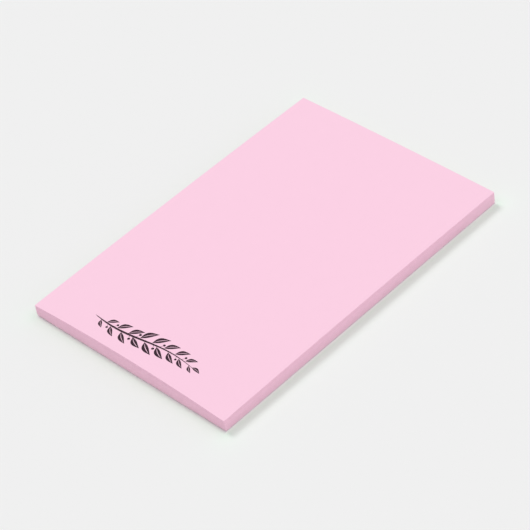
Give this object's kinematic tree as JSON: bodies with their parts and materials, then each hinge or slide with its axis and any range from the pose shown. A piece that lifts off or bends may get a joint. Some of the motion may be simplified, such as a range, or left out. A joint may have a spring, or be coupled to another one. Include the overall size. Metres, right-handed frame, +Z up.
{
  "type": "sticky note pad",
  "caption": "Flat rectangular block of plain pink paper notes, lightly stuck together along one short edge and lying on a thin release liner, for writing reminders.",
  "frame": {"origin": "middle of the pad's underside, where the release liner rests on the desk", "axes": "+X across the pad, +Y along it towards the glued end, +Z up through the notes"},
  "size_m": [0.1016, 0.1524, 0.0077],
  "materials": {
    "note_paper": "matt uncoated paper, pale pink",
    "liner_paper": "white paper with a smooth release coating",
    "print_ink": "matt dark printing ink, sunk into the top note"
  },
  "bodies": {
    "root": {"page_block": "note_paper", "release_liner": "liner_paper"}
  },
  "joints": []
}
